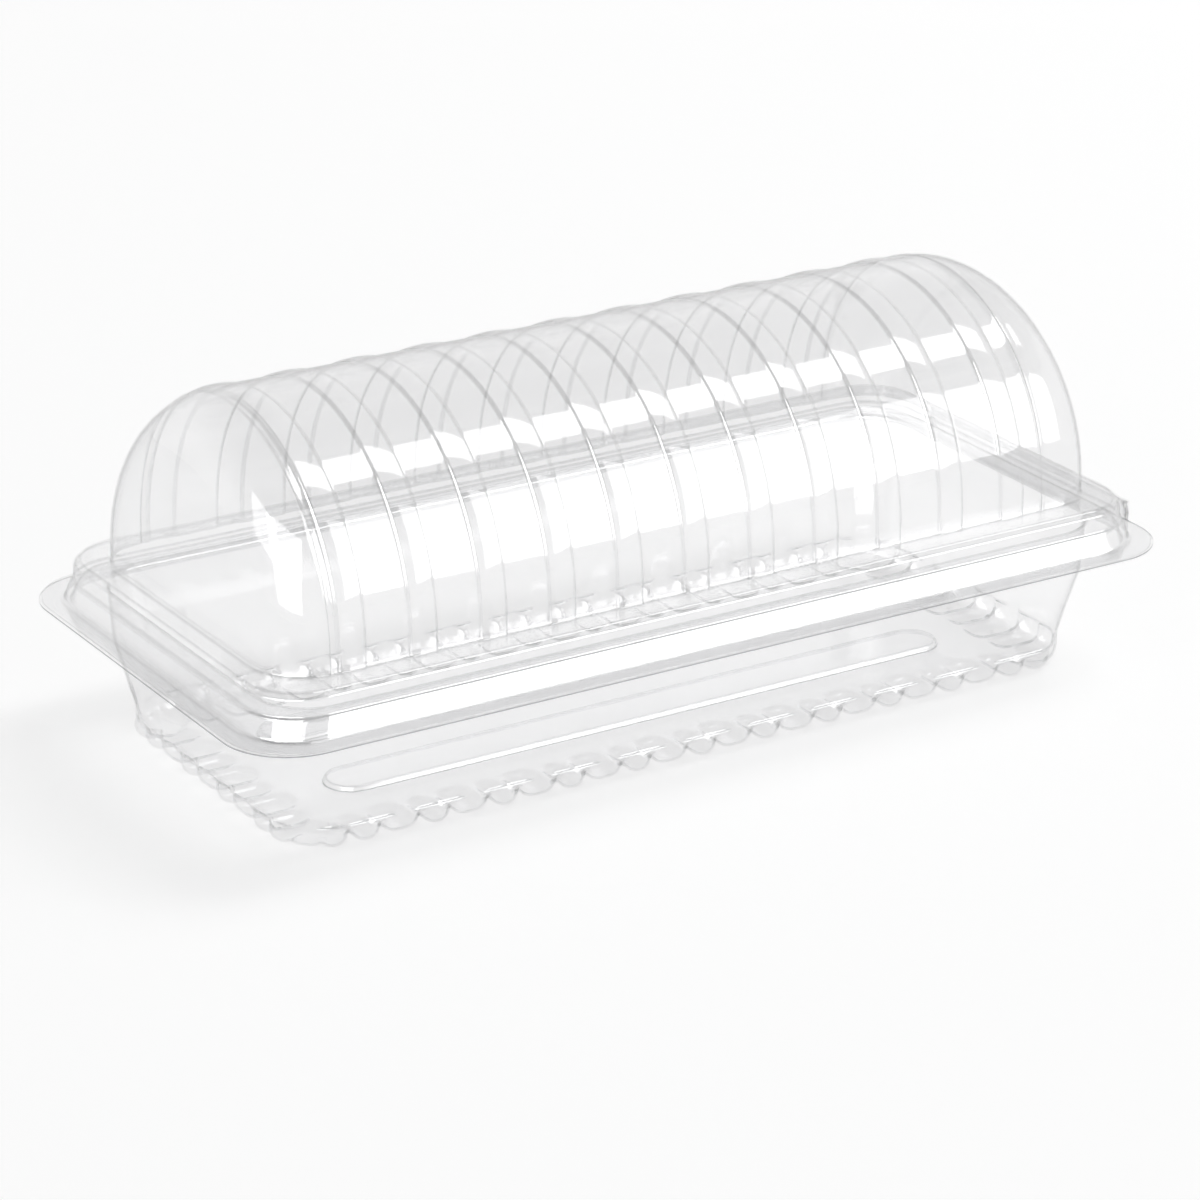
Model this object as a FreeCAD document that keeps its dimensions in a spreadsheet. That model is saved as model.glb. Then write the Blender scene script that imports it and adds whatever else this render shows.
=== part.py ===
import FreeCAD, Part
import math
import os
import Sketcher

# A long clear pack folded from one thin sheet. The lower body is a tray with a flange,
# a raised collar and a fluted bottom edge. The upper body is a ribbed barrel dome on a
# rim with its own flange. Two upright leaves at the far short end meet in the fold that
# the upper body swings on. Millimetres, Z up, X along the pack, the flutes stand on Z = 0.

doc = FreeCAD.newDocument("clear_pack")
os.makedirs("parts", exist_ok=True)

# Driving sizes in millimetres

SIZES = {
    "sheet_wall": 0.35,
    "pack_length": 260.0,
    "pack_width": 126.2,
    "flange_round": 17.0,
    "parting_height": 34.0,
    "seam_gap": 0.15,
    "rim_margin": 4.8,
    "rim_round": 15.0,
    "rim_low_height": 5.4,
    "rim_high_height": 5.6,
    "rim_low_draft": 1.6,
    "rim_step": 0.35,
    "rim_high_draft": 0.35,
    "rim_edge_round": 1.6,
    "ledge_end_width": 6.5,
    "ledge_side_width": 8.3,
    "dome_side_height": 3.9,
    "dome_end_round": 15.0,
    "rib_end_margin": 23.6,
    "rib_row_offset": 4.8,
    "rib_width": 7.4,
    "rib_rise": 0.6,
    "land_end_width": 13.8,
    "land_side_width": 13.3,
    "tub_round": 14.2,
    "tub_kink_height": 25.5,
    "tub_lip_draft": 0.6,
    "tub_wall_draft": 4.2,
    "foot_height": 5.6,
    "floor_height": 1.6,
    "collar_height": 5.0,
    "collar_draft": 1.6,
    "collar_end_clearance": 1.2,
    "collar_side_clearance": 0.3,
    "wide_flute_radius": 5.5,
    "narrow_flute_radius": 3.7,
    "long_flute_margin": 32.68,
    "end_flute_margin": 31.24,
    "flute_reach": 9.0,
    "corner_flute_reach": 6.5,
    "wide_flute_lift": 0.3,
    "narrow_flute_step": 0.5,
    "bead_end_margin": 28.2,
    "bead_width": 13.0,
    "bead_spacing": 33.0,
    "bead_rise": 1.2,
    "hinge_side_margin": 21.1,
    "hinge_rise": 4.9,
    "fold_radius": 0.5,
}

# Radius, height of the axis and reach past the wall of each kind of flute

FLUTES = {
    "wide": ("wide_flute_radius", "wide_flute_radius + wide_flute_lift", "0"),
    "narrow": ("narrow_flute_radius", "narrow_flute_radius", "narrow_flute_step"),
}

# Directions in degrees of the flutes round one corner, measured from the long way

CORNER_FLUTES = {"wide": {"middle": 45}, "narrow": {"low": 16, "high": 74}}

# How many times a form repeats

COUNTS = {
    "rib_count": 11,
    "long_wide_count": 10,
    "end_wide_count": 3,
}

# Sizes worked out from the driving ones

WORKED = {
    "flange_x": "=pack_length / 2",
    "flange_y": "=pack_width / 2",
    "lid_bottom": "=parting_height + seam_gap",
    "rim_foot_x": "=flange_x - rim_margin",
    "rim_foot_y": "=flange_y - rim_margin",
    "rim_waist_x": "=rim_foot_x - rim_low_draft",
    "rim_waist_y": "=rim_foot_y - rim_low_draft",
    "rim_waist_height": "=lid_bottom + rim_low_height",
    "ledge_height": "=rim_waist_height + rim_high_height",
    "ledge_x": "=rim_waist_x - rim_step - rim_high_draft",
    "ledge_y": "=rim_waist_y - rim_step - rim_high_draft",
    "dome_x": "=ledge_x - ledge_end_width",
    "dome_y": "=ledge_y - ledge_side_width",
    "dome_axis_height": "=ledge_height + dome_side_height",
    "rib_circle": "=(rib_width * rib_width / 4 + rib_rise * rib_rise) / (2 * rib_rise)",
    "rib_path": "=dome_y + rib_rise - rib_circle",
    "rib_pitch": "=2 * (dome_x - rib_end_margin) / (rib_count - 1)",
    "rib_start": "=-(rib_count - 1) * rib_pitch / 2 - rib_row_offset",
    "tub_x": "=flange_x - land_end_width",
    "tub_y": "=flange_y - land_side_width",
    "foot_x": "=tub_x - tub_wall_draft",
    "foot_y": "=tub_y - tub_wall_draft",
    "long_narrow_count": "=long_wide_count + 1",
    "end_narrow_count": "=end_wide_count + 1",
    "long_flute_pitch": "=2 * (tub_x - long_flute_margin) / (long_wide_count - 1)",
    "end_flute_pitch": "=2 * (tub_y - end_flute_margin) / (end_wide_count - 1)",
    "bead_length": "=2 * (tub_x - bead_end_margin)",
    "chamfer": "=foot_height - floor_height",
    "mitre": "=tan(22.5)",
    "collar_top": "=parting_height + collar_height",
    "collar_foot_x": "=rim_foot_x - sheet_wall - collar_end_clearance",
    "collar_foot_y": "=rim_foot_y - sheet_wall - collar_side_clearance",
    "collar_round": "=rim_round - sheet_wall",
    "hinge_width": "=2 * (flange_y - hinge_side_margin)",
    "fold_height": "=parting_height + hinge_rise",
    "hinge_x": "=flange_x - sheet_wall - seam_gap",
}

dims = doc.addObject("Spreadsheet::Sheet", "dims")
for row, (name, size) in enumerate([*SIZES.items(), *COUNTS.items(), *WORKED.items()], start=1):
    dims.set(f"A{row}", name)
    dims.set(f"B{row}", str(size))
    dims.setAlias(f"B{row}", name)
doc.recompute()


def sized(expression):
    """The present value of an expression in sheet aliases."""
    return float(dims.evalExpression(expression))


def linked(expression):
    """The same expression as another object has to write it."""
    words = []
    word = ""
    for sign in expression + " ":
        if sign.isalnum() or sign == "_":
            word += sign
            continue
        known = word in SIZES or word in COUNTS or word in WORKED
        words.append("dims." + word if known else word)
        words.append(sign)
        word = ""
    return "".join(words).strip()


def new_body(name):
    return doc.addObject("PartDesign::Body", name)


def origin_item(body, role):
    for item in body.Origin.OriginFeatures:
        if item.Role == role:
            return item


def new_sketch(body, name, plane, right="0", up="0", out="0"):
    """A sketch on a plane of the body, moved by expressions along its own axes."""
    sketch = body.newObject("Sketcher::SketchObject", name)
    sketch.AttachmentSupport = [(origin_item(body, plane), "")]
    sketch.MapMode = "FlatFace"
    sketch.setExpression("AttachmentOffset.Base.x", linked(right))
    sketch.setExpression("AttachmentOffset.Base.y", linked(up))
    sketch.setExpression("AttachmentOffset.Base.z", linked(out))
    return sketch


def measure(sketch, kind, references, expression, name):
    """Adds one named measure that follows the sheet."""
    index = sketch.addConstraint(Sketcher.Constraint(kind, *references, sized(expression)))
    sketch.renameConstraint(index, name)
    sketch.setExpression("Constraints." + name, linked(expression))


def place_point(sketch, item, end, across, along, name):
    """Holds a point at a place that two expressions give."""
    measure(sketch, "DistanceX", (-1, 1, item, end), across, name + "_x")
    measure(sketch, "DistanceY", (-1, 1, item, end), along, name + "_y")


def polygon(body, name, plane, corners, out="0"):
    """A closed outline with each corner held by a pair of expressions."""
    sketch = new_sketch(body, name, plane, out=out)
    points = [FreeCAD.Vector(sized(a), sized(b), 0) for a, b in corners]
    for start, end in zip(points, points[1:] + points[:1]):
        sketch.addGeometry(Part.LineSegment(start, end), False)
    for item, (across, along) in enumerate(corners):
        before = (item - 1) % len(corners)
        sketch.addConstraint(Sketcher.Constraint("Coincident", before, 2, item, 1))
        place_point(sketch, item, 1, across, along, f"corner{item}")
    return sketch


def rounded_outline(body, name, height, half_x, half_y, corner):
    """A rectangle with round corners, centred on the Z axis at a height."""
    sketch = new_sketch(body, name, "XY_Plane", out=height)
    x, y, r = sized(half_x), sized(half_y), sized(corner)
    right, top = x - r, y - r
    point = FreeCAD.Vector
    sides = [
        (point(-right, -y, 0), point(right, -y, 0)),
        (point(x, -top, 0), point(x, top, 0)),
        (point(right, y, 0), point(-right, y, 0)),
        (point(-x, top, 0), point(-x, -top, 0)),
    ]
    centres = [(right, -top), (right, top), (-right, top), (-right, -top)]
    for side, (start, end) in enumerate(sides):
        sketch.addGeometry(Part.LineSegment(start, end), False)
        centre = point(*centres[side], 0)
        circle = Part.Circle(centre, point(0, 0, 1), r)
        first = (side - 1) * math.pi / 2
        sketch.addGeometry(Part.ArcOfCircle(circle, first, first + math.pi / 2), False)
    for side in range(4):
        line, arc = 2 * side, 2 * side + 1
        following = (line + 2) % 8
        sketch.addConstraint(Sketcher.Constraint("Tangent", line, 2, arc, 1))
        sketch.addConstraint(Sketcher.Constraint("Tangent", arc, 2, following, 1))
        level = "Horizontal" if side % 2 == 0 else "Vertical"
        sketch.addConstraint(Sketcher.Constraint(level, line))
        if side:
            sketch.addConstraint(Sketcher.Constraint("Equal", 1, arc))
    measure(sketch, "Radius", (1,), corner, "corner")
    measure(sketch, "DistanceY", (-1, 1, 0, 1), "-(" + half_y + ")", "front")
    measure(sketch, "DistanceX", (-1, 1, 2, 1), half_x, "right")
    measure(sketch, "DistanceY", (-1, 1, 4, 1), half_y, "back")
    measure(sketch, "DistanceX", (-1, 1, 6, 1), "-(" + half_x + ")", "left")
    return sketch


def loft(body, name, lower, upper, cut=False):
    kind = "PartDesign::SubtractiveLoft" if cut else "PartDesign::AdditiveLoft"
    step = body.newObject(kind, name)
    step.Profile = lower
    step.Sections = [upper]
    step.Ruled = True
    doc.recompute()
    return step


def pad(body, name, sketch, length, side="One side", reverse=False, cut=False):
    kind = "PartDesign::Pocket" if cut else "PartDesign::Pad"
    step = body.newObject(kind, name)
    step.Profile = sketch
    step.Type = "Length"
    step.SideType = side
    step.Reversed = reverse
    step.setExpression("Length", linked(length))
    doc.recompute()
    return step


def turned(body, name, sketch, half=False):
    """Turns a sketch about its own level axis, right round or half of it."""
    step = body.newObject("PartDesign::Revolution", name)
    step.Profile = sketch
    step.ReferenceAxis = (sketch, ["H_Axis"])
    step.Angle = 180 if half else 360
    step.Midplane = half
    doc.recompute()
    return step


def row(body, name, originals, axis, pitch, count):
    """Repeats features along an axis of the body."""
    step = body.newObject("PartDesign::LinearPattern", name)
    step.Originals = originals
    step.Direction = (origin_item(body, axis), [""])
    step.Mode = "Spacing"
    step.setExpression("Offset", linked(pitch))
    step.setExpression("Occurrences", linked(count))
    body.Tip = step
    doc.recompute()
    return step


def rounded_edges(body, name, source, radius, chosen):
    """Fillets the edges of a feature that a test picks out."""
    step = body.newObject("PartDesign::Fillet", name)
    picked = [f"Edge{n}" for n, edge in enumerate(source.Shape.Edges, start=1) if chosen(edge)]
    step.Base = (source, picked)
    step.setExpression("Radius", linked(radius))
    doc.recompute()
    return step


# Upper body: flange, rim, ledge, barrel dome and arched ribs

def lid_solid(name, inset):
    """The filled outline of the lid, drawn in by an inset on every face but the open one."""
    body = new_body(name)
    hollow = inset != "0"

    flange_top = "lid_bottom + sheet_wall"
    if not hollow:
        flange = rounded_outline(body, name + "_flange_outline", "lid_bottom",
                                 "hinge_x - seam_gap", "flange_y", "flange_round")
        pad(body, name + "_flange", flange, "sheet_wall")
    start = "lid_bottom - sheet_wall" if hollow else "lid_bottom"
    slope = "rim_low_draft * sheet_wall / rim_low_height" if hollow else "0"
    foot = rounded_outline(body, name + "_rim_foot", start,
                           f"rim_foot_x - {inset} + {slope}",
                           f"rim_foot_y - {inset} + {slope}", f"rim_round - {inset}")
    waist_level = f"rim_waist_height - {inset}"
    waist = rounded_outline(body, name + "_rim_waist", waist_level,
                            f"rim_waist_x - {inset}", f"rim_waist_y - {inset}",
                            f"rim_round - {inset}")
    loft(body, name + "_rim_low", foot, waist)
    step_round = f"rim_round - rim_step - {inset}"
    neck = rounded_outline(body, name + "_rim_neck", waist_level,
                           f"rim_waist_x - rim_step - {inset}",
                           f"rim_waist_y - rim_step - {inset}", step_round)
    crown = rounded_outline(body, name + "_rim_crown", f"ledge_height - {inset}",
                            f"rim_waist_x - rim_step - rim_high_draft - {inset}",
                            f"rim_waist_y - rim_step - rim_high_draft - {inset}", step_round)
    rim = loft(body, name + "_rim_high", neck, crown)
    ledge = sized(f"ledge_height - {inset}")

    def on_ledge(edge):
        box = edge.BoundBox
        return abs(box.ZMin - ledge) < 1e-4 and abs(box.ZMax - ledge) < 1e-4

    rounded_edges(body, name + "_rim_edge", rim, f"rim_edge_round - {inset}", on_ledge)

    level = f"ledge_height - {inset}"
    arch = new_sketch(body, name + "_arch", "YZ_Plane", up=level)
    side = sized("dome_side_height + " + inset)
    half = sized(f"dome_y - {inset}")
    point = FreeCAD.Vector
    circle = Part.Circle(point(0, side, 0), point(0, 0, 1), half)
    sketch_items = [
        Part.LineSegment(point(-half, 0, 0), point(half, 0, 0)),
        Part.LineSegment(point(half, 0, 0), point(half, side, 0)),
        Part.ArcOfCircle(circle, 0, math.pi),
        Part.LineSegment(point(-half, side, 0), point(-half, 0, 0)),
    ]
    for item in sketch_items:
        arch.addGeometry(item, False)
    arch.addConstraint(Sketcher.Constraint("Coincident", 0, 2, 1, 1))
    arch.addConstraint(Sketcher.Constraint("Tangent", 1, 2, 2, 1))
    arch.addConstraint(Sketcher.Constraint("Tangent", 2, 2, 3, 1))
    arch.addConstraint(Sketcher.Constraint("Coincident", 3, 2, 0, 1))
    arch.addConstraint(Sketcher.Constraint("Vertical", 1))
    place_point(arch, 0, 1, f"-(dome_y - {inset})", "0", "left_foot")
    place_point(arch, 0, 2, f"dome_y - {inset}", "0", "right_foot")
    measure(arch, "DistanceY", (1, 1, 1, 2), "dome_side_height + " + inset, "side_height")
    dome = pad(body, name + "_dome", arch, f"2 * (dome_x - {inset})", side="Symmetric")
    end = sized(f"dome_x - {inset}")
    base = sized(level)

    def on_dome_end(edge):
        box = edge.BoundBox
        flat = box.XLength < 1e-4 and abs(abs(box.XMin) - end) < 1e-4
        return flat and box.ZMax > base + 1e-3

    rounded_edges(body, name + "_dome_ends", dome, f"dome_end_round - {inset}", on_dome_end)

    hoop = new_sketch(body, name + "_rib_section", "XZ_Plane", up="dome_axis_height")
    centre = point(sized("rib_start"), sized("rib_path"), 0)
    hoop.addGeometry(Part.Circle(centre, point(0, 0, 1), sized(f"rib_circle - {inset}")), False)
    place_point(hoop, 0, 3, "rib_start", "rib_path", "section")
    measure(hoop, "Radius", (0,), f"rib_circle - {inset}", "section_radius")
    arch_rib = turned(body, name + "_rib", hoop, half=True)
    legs = new_sketch(body, name + "_rib_legs", "XY_Plane", out="dome_axis_height")
    for item, way in enumerate(("", "-")):
        centre = point(sized("rib_start"), sized(way + "rib_path"), 0)
        legs.addGeometry(Part.Circle(centre, point(0, 0, 1), sized(f"rib_circle - {inset}")), False)
        place_point(legs, item, 3, "rib_start", way + "rib_path", f"leg{item}")
        measure(legs, "Radius", (item,), f"rib_circle - {inset}", f"leg_radius{item}")
    rib_legs = pad(body, name + "_rib_feet", legs, "dome_side_height + " + inset, reverse=True)
    row(body, name + "_rib_row", [arch_rib, rib_legs], "X_Axis", "rib_pitch", "rib_count")

    if not hollow:
        leaf = polygon(body, name + "_leaf_outline", "XZ_Plane", [
            ("hinge_x - seam_gap - sheet_wall", "lid_bottom"),
            ("hinge_x - seam_gap", "lid_bottom"),
            ("hinge_x - seam_gap", "fold_height - fold_radius - seam_gap"),
            ("hinge_x - seam_gap - sheet_wall", "fold_height - fold_radius - seam_gap"),
        ])
        pad(body, name + "_leaf", leaf, "hinge_width", side="Symmetric")
    return body


# Lower body: fluted tub, collar, flange and upright leaf

def flute_row(body, name, plane, level, radius, reach, start, axis, run, count, place, way):
    """A row of round-nosed flutes that point outwards from one wall of the tub."""
    sketch = new_sketch(body, name + "_outline", plane, right=place, up=level, out=start)
    nose(sketch, radius, reach, way)
    flute = turned(body, name + "_first", sketch)
    row(body, name, [flute], axis, run, count)


def corner_flute(body, name, level, radius, reach, offset, corner, direction):
    """One flute that points out of a round corner of the tub."""
    side, end = corner
    right = f"{end} * (foot_x - tub_round + ({offset}) * cos({direction}))"
    out = f"{-side} * (foot_y - tub_round + ({offset}) * sin({direction}))"
    sketch = new_sketch(body, name + "_outline", "XZ_Plane", right=right, up=level, out=out)
    turn = side * direction if end > 0 else 180 - side * direction
    sketch.AttachmentOffset = FreeCAD.Placement(
        sketch.AttachmentOffset.Base, FreeCAD.Rotation(FreeCAD.Vector(0, 1, 0), turn))
    nose(sketch, radius, reach, 1)
    turned(body, name, sketch)


def nose(sketch, radius, length, way):
    """Half the outline of a round-nosed bar whose nose centre is the sketch origin."""
    point = FreeCAD.Vector
    r, l = sized(radius), sized(length)
    circle = Part.Circle(point(0, 0, 0), point(0, 0, 1), r)
    first, last = (0, math.pi / 2) if way > 0 else (math.pi / 2, math.pi)
    sketch.addGeometry(Part.ArcOfCircle(circle, first, last), False)
    tip, shoulder = (1, 2) if way > 0 else (2, 1)
    sketch.addGeometry(Part.LineSegment(point(0, r, 0), point(-way * l, r, 0)), False)
    sketch.addGeometry(Part.LineSegment(point(-way * l, r, 0), point(-way * l, 0, 0)), False)
    sketch.addGeometry(Part.LineSegment(point(-way * l, 0, 0), point(way * r, 0, 0)), False)
    sketch.addConstraint(Sketcher.Constraint("Coincident", 0, 3, -1, 1))
    sketch.addConstraint(Sketcher.Constraint("Tangent", 0, shoulder, 1, 1))
    sketch.addConstraint(Sketcher.Constraint("Coincident", 1, 2, 2, 1))
    sketch.addConstraint(Sketcher.Constraint("Coincident", 2, 2, 3, 1))
    sketch.addConstraint(Sketcher.Constraint("Coincident", 3, 2, 0, tip))
    sketch.addConstraint(Sketcher.Constraint("Horizontal", 1))
    sketch.addConstraint(Sketcher.Constraint("Vertical", 2))
    sketch.addConstraint(Sketcher.Constraint("PointOnObject", 3, 1, -1))
    sketch.addConstraint(Sketcher.Constraint("PointOnObject", 3, 2, -1))
    measure(sketch, "Radius", (0,), radius, "nose")
    measure(sketch, "DistanceX", (-1, 1, 3, 1), f"{-way} * ({length})", "reach")


def flute_group(name, kind, inset):
    """Every flute of one kind, as loose bars round the bottom edge."""
    body = new_body(name)
    body.AllowCompound = True
    radius, level, extra = FLUTES[kind]
    inside = f"{radius} - {inset}"
    reach = f"flute_reach - {inset}"
    for side, way in (("front", -1), ("back", 1)):
        depth = f"{way} * (foot_y - {radius} + {extra})"
        start = f"-(long_{kind}_count - 1) * long_flute_pitch / 2"
        flute_row(body, f"{name}_{side}", "YZ_Plane", level, inside, reach, start,
                  "X_Axis", "long_flute_pitch", f"long_{kind}_count", depth, way)
    for side, way in (("left", -1), ("right", 1)):
        depth = f"{way} * (foot_x - {radius} + {extra})"
        start = f"(end_{kind}_count - 1) * end_flute_pitch / 2"
        flute_row(body, f"{name}_{side}", "XZ_Plane", level, inside, reach, start,
                  "Y_Axis", "end_flute_pitch", f"end_{kind}_count", depth, way)
    corner_reach = f"corner_flute_reach - {inset}"
    offset = f"tub_round - {radius} + {extra}"
    corners = {"fl": (-1, -1), "fr": (-1, 1), "bl": (1, -1), "br": (1, 1)}
    for corner, ways in corners.items():
        for place, direction in CORNER_FLUTES[kind].items():
            corner_flute(body, f"{name}_{corner}_{place}", level, inside,
                         corner_reach, offset, ways, direction)
    return body


def tub_steps(body, name, inset, top):
    """The tapering tub as three stacked lofts on a chamfered bottom."""
    low = f"{inset} * mitre"
    floor = rounded_outline(body, name + "_floor", f"floor_height + {inset}",
                            f"foot_x - chamfer - {low}", f"foot_y - chamfer - {low}",
                            f"tub_round - chamfer - {low}")
    foot = rounded_outline(body, name + "_foot", f"foot_height + {low}",
                           f"foot_x - {inset}", f"foot_y - {inset}", f"tub_round - {inset}")
    kink = rounded_outline(body, name + "_kink", "tub_kink_height",
                           f"tub_x - {inset}", f"tub_y - {inset}", f"tub_round - {inset}")
    lip = rounded_outline(body, name + "_lip", top,
                          f"tub_x + tub_lip_draft - {inset}",
                          f"tub_y + tub_lip_draft - {inset}", f"tub_round - {inset}")
    loft(body, name + "_chamfer", floor, foot)
    loft(body, name + "_wall", foot, kink)
    loft(body, name + "_upper_wall", kink, lip)


def slot_cut(body, name, level, height, inset):
    """Two long channels with round ends, pressed up into the floor."""
    for side, way in (("front", "-"), ("back", "")):
        sketch = new_sketch(body, f"{name}_{side}_outline", "XY_Plane",
                            up=way + "bead_spacing / 2", out=level)
        half = sized("bead_length / 2 - bead_width / 2")
        r = sized(f"bead_width / 2 - {inset}")
        point = FreeCAD.Vector
        right = Part.Circle(point(half, 0, 0), point(0, 0, 1), r)
        left = Part.Circle(point(-half, 0, 0), point(0, 0, 1), r)
        sketch.addGeometry(Part.LineSegment(point(-half, -r, 0), point(half, -r, 0)), False)
        sketch.addGeometry(Part.ArcOfCircle(right, -math.pi / 2, math.pi / 2), False)
        sketch.addGeometry(Part.LineSegment(point(half, r, 0), point(-half, r, 0)), False)
        sketch.addGeometry(Part.ArcOfCircle(left, math.pi / 2, 3 * math.pi / 2), False)
        for item in range(4):
            following = (item + 1) % 4
            sketch.addConstraint(Sketcher.Constraint("Tangent", item, 2, following, 1))
        sketch.addConstraint(Sketcher.Constraint("Horizontal", 0))
        sketch.addConstraint(Sketcher.Constraint("PointOnObject", 1, 3, -1))
        measure(sketch, "Radius", (1,), f"bead_width / 2 - {inset}", "end_radius")
        measure(sketch, "DistanceX", (-1, 1, 1, 3), "bead_length / 2 - bead_width / 2", "right")
        measure(sketch, "DistanceX", (-1, 1, 3, 3), "-(bead_length / 2 - bead_width / 2)", "left")
        pad(body, f"{name}_{side}", sketch, height, reverse=True, cut=True)


def tray_outer():
    body = new_body("tray_outer")
    flange = rounded_outline(body, "tray_flange_outline", "parting_height - sheet_wall",
                             "flange_x", "flange_y", "flange_round")
    pad(body, "tray_flange", flange, "sheet_wall")
    foot = rounded_outline(body, "collar_foot", "parting_height - sheet_wall",
                           "collar_foot_x", "collar_foot_y", "collar_round")
    top = rounded_outline(body, "collar_crown", "collar_top", "collar_foot_x - collar_draft",
                          "collar_foot_y - collar_draft", "collar_round")
    loft(body, "collar", foot, top)
    groove_foot = rounded_outline(body, "groove_foot", "parting_height - sheet_wall",
                                  "collar_foot_x - sheet_wall", "collar_foot_y - sheet_wall",
                                  "collar_round - sheet_wall")
    groove_top = rounded_outline(body, "groove_crown", "collar_top - sheet_wall",
                                 "collar_foot_x - collar_draft - sheet_wall",
                                 "collar_foot_y - collar_draft - sheet_wall",
                                 "collar_round - sheet_wall")
    loft(body, "collar_groove", groove_foot, groove_top, cut=True)
    tub_steps(body, "tub", "0", "collar_top")
    slot_cut(body, "channel", "floor_height", "bead_rise", "sheet_wall")
    leaf = polygon(body, "tray_leaf_outline", "XZ_Plane", [
        ("hinge_x - rim_margin / 4", "parting_height - sheet_wall"),
        ("hinge_x + seam_gap + sheet_wall", "parting_height - sheet_wall"),
        ("hinge_x + seam_gap + sheet_wall", "fold_height"),
        ("hinge_x + seam_gap", "fold_height"),
        ("hinge_x + seam_gap", "parting_height"),
        ("hinge_x - rim_margin / 4", "parting_height"),
    ])
    pad(body, "tray_leaf", leaf, "hinge_width", side="Symmetric")
    fold = new_sketch(body, "fold_outline", "XZ_Plane")
    centre = FreeCAD.Vector(sized("hinge_x"), sized("fold_height"), 0)
    fold.addGeometry(Part.Circle(centre, FreeCAD.Vector(0, 0, 1), sized("fold_radius")), False)
    place_point(fold, 0, 3, "hinge_x", "fold_height", "fold")
    measure(fold, "Radius", (0,), "fold_radius", "fold_size")
    pad(body, "fold", fold, "hinge_width", side="Symmetric")
    return joined("tray_full", [body, flute_group("wide_flutes", "wide", "0"),
                                flute_group("narrow_flutes", "narrow", "0")])


def tray_inner():
    body = new_body("tray_inner")
    tub_steps(body, "cavity", "sheet_wall", "collar_top + sheet_wall")
    slot_cut(body, "island", "floor_height + sheet_wall", "bead_rise", "0")
    return joined("tray_hollow", [body, flute_group("wide_hollows", "wide", "sheet_wall"),
                                  flute_group("narrow_hollows", "narrow", "sheet_wall")])


def joined(name, solids):
    whole = doc.addObject("Part::MultiFuse", name)
    whole.Shapes = solids
    whole.Refine = False
    doc.recompute()
    return whole


def thin_shell(name, outer, inner):
    """Cuts the inset solid from the full one, which leaves the sheet."""
    shell = doc.addObject("Part::Cut", name)
    shell.Refine = False
    shell.Base = outer
    shell.Tool = inner
    shell.Label = name
    shell.Placement = FreeCAD.Placement()
    doc.recompute()
    return shell


base_tray = thin_shell("base_tray", tray_outer(), tray_inner())
lid = thin_shell("lid", lid_solid("lid_outer", "0"), lid_solid("lid_inner", "sheet_wall"))

# Checks and files

for item in doc.Objects:
    if "Invalid" in item.State or "Error" in item.State:
        raise RuntimeError(item.Name + " did not build")

for node in (base_tray, lid):
    if node.Shape.isNull() or not node.Shape.isValid():
        raise RuntimeError(node.Label + " has no valid shape")
    node.Shape.exportStep(f"parts/{node.Label}.step")
    box = node.Shape.BoundBox
    print(node.Label, "solids", len(node.Shape.Solids), "volume", round(node.Shape.Volume),
          "from", [round(v, 2) for v in (box.XMin, box.YMin, box.ZMin)],
          "to", [round(v, 2) for v in (box.XMax, box.YMax, box.ZMax)])
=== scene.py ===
import math

import bmesh
import bpy
import numpy as np
from mathutils import Matrix, Vector
from mathutils.geometry import delaunay_2d_cdt


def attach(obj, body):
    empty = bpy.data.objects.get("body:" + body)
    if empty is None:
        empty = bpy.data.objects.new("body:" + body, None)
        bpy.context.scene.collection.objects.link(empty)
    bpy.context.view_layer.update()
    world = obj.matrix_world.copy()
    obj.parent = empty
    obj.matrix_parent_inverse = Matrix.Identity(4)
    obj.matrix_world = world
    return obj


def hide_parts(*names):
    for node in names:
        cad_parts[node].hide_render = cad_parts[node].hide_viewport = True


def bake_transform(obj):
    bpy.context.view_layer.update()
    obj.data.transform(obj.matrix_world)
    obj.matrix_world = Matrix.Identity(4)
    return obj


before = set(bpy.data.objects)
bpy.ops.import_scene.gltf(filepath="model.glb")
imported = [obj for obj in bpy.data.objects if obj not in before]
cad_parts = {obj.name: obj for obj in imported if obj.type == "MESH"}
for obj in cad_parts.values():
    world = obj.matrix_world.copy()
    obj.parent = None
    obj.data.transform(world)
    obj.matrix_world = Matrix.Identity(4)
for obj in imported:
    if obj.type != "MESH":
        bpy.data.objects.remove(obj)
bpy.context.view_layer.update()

# A clear hinged pack on a pale floor. Every sheet is built as its outer side in millimetres
# and gets its real thickness inwards. X runs along the pack towards the hinge, Z is up.

WALL = 0.35
FLANGE = (130.0, 63.1, 17.0)
PARTING = 34.0
SEAM = 0.15
LEAF_ROOM = 0.65
EDGE_GUARD = 0.35

# Upper sheet

LEDGE = (122.9, 56.0, 14.65)
LEDGE_TOP = 45.15
DOME = (116.4, 47.7)
DOME_AXIS = 49.05
DOME_CORNER_LOW = 13.0
DOME_CORNER_HIGH = 18.5
SHOULDER = 104.5
BASE_FILLET = 0.6
RIB_FIRST = -97.6
RIB_PITCH = 18.56
RIB_COUNT = 11
RIB_HALF = 3.75
RIB_RISE = 0.6
RIB_STEP = 0.26
RIB_SIDE = 0.6
RIB_ROWS = (-4.2, -3.82, -3.66, -3.52, -3.38, -3.24, -3.08, -2.8, -1.6, 0.0,
            1.6, 2.8, 3.08, 3.24, 3.38, 3.52, 3.66, 3.82, 4.2)
# Narrow beads at both ends of the rib row
BEAD_PLACES = (-103.0, 97.6)
BEAD_HALF = 1.1
BEAD_RISE = 0.3
BEAD_ROWS = (-1.1, -0.7, -0.35, 0, 0.35, 0.7, 1.1)
SHOULDER_ROWS = (95.0, 99.5, 101.5)
SHOULDER_STEP = 1.2
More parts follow.
